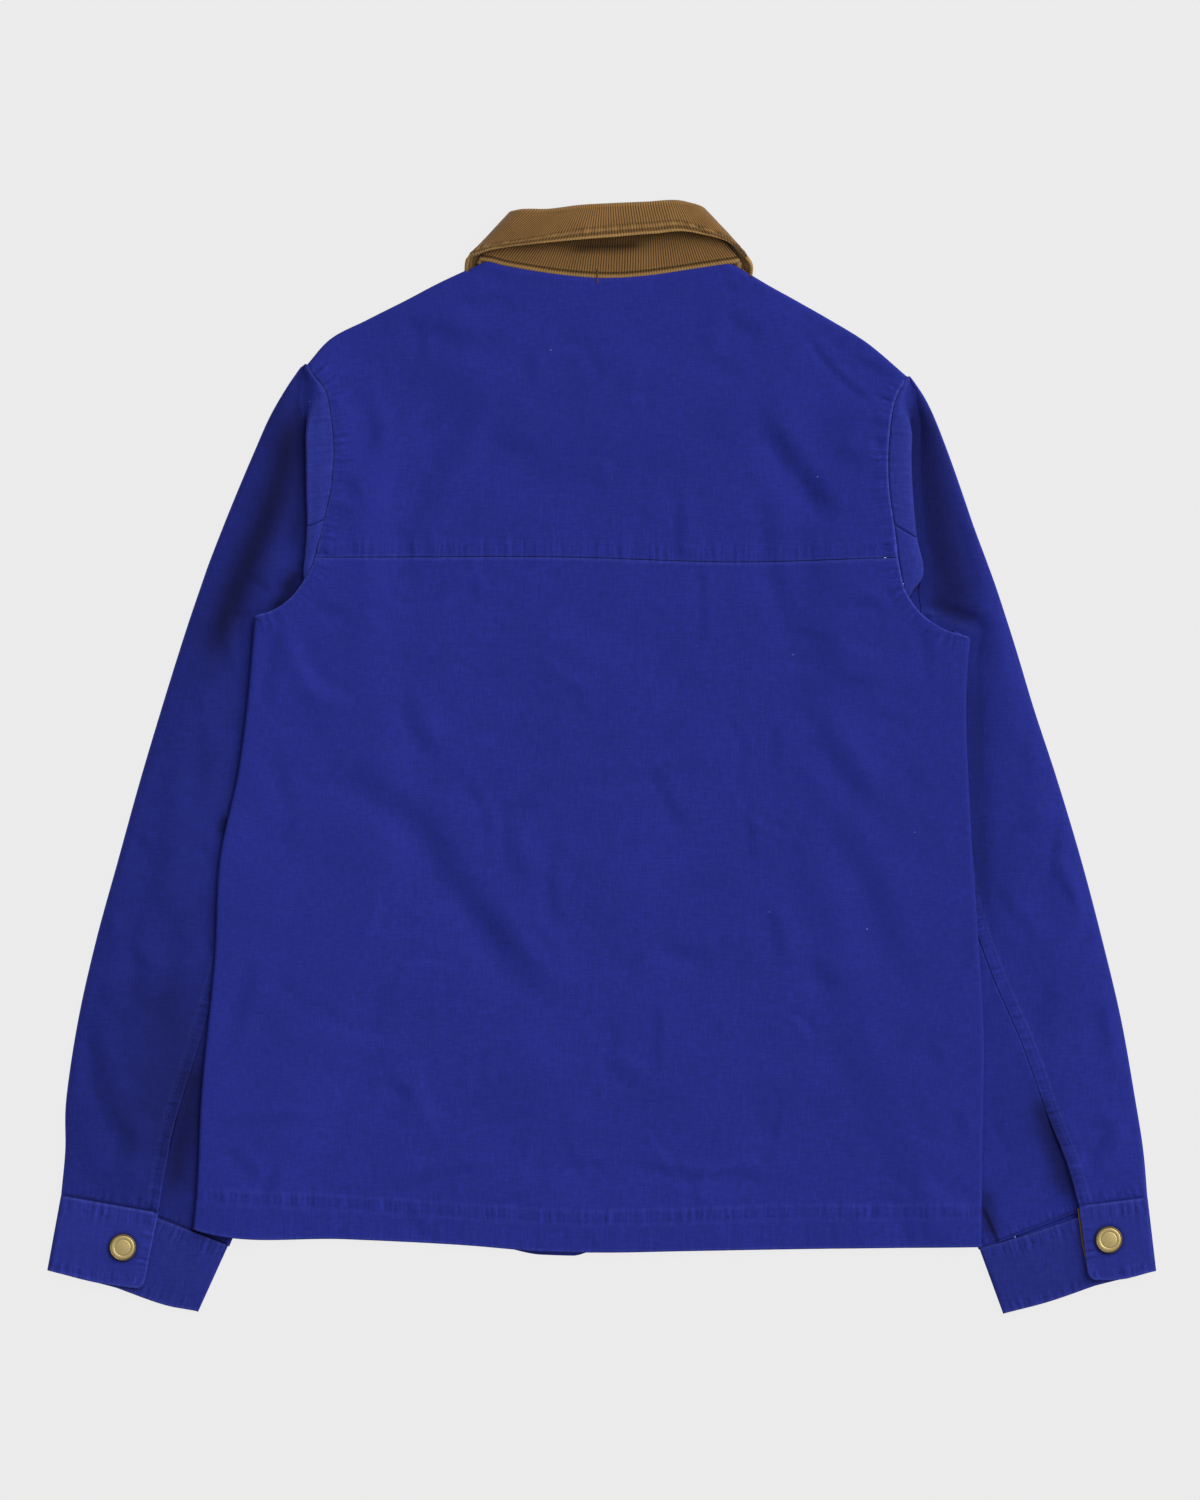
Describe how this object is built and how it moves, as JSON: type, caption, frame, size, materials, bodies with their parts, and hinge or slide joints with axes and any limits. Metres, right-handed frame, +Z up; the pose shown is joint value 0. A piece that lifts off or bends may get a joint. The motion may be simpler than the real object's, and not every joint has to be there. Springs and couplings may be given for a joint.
{
  "type": "barn jacket",
  "caption": "Collared canvas jacket laid flat with its back up: yoke, corduroy collar, sleeves tucked under the sides and snapped cuffs.",
  "frame": {"origin": "under the middle of the jacket's outline, on the surface it lies on", "axes": "+Z up, out of the surface and through the back of the jacket; +Y towards the collar; +X to the wearer's right"},
  "size_m": [0.7318, 0.7347, 0.0178],
  "materials": {
    "cotton_canvas_blue": "matte woven cotton",
    "cotton_corduroy_brown": "matte ribbed cotton",
    "brass_antique": "satin, aged"
  },
  "bodies": {
    "root": {"yoke": "cotton_canvas_blue", "back_panel": "cotton_canvas_blue", "front_left": "cotton_canvas_blue", "front_right": "cotton_canvas_blue", "sleeve_upper_left": "cotton_canvas_blue", "sleeve_upper_right": "cotton_canvas_blue", "sleeve_under_left": "cotton_canvas_blue", "sleeve_under_right": "cotton_canvas_blue", "cuff_left": "cotton_canvas_blue", "cuff_right": "cotton_canvas_blue", "cuff_facing_right": "cotton_corduroy_brown", "collar_stand": "cotton_corduroy_brown", "collar_fall": "cotton_corduroy_brown", "snap_left": "brass_antique", "snap_right": "brass_antique"}
  },
  "joints": []
}
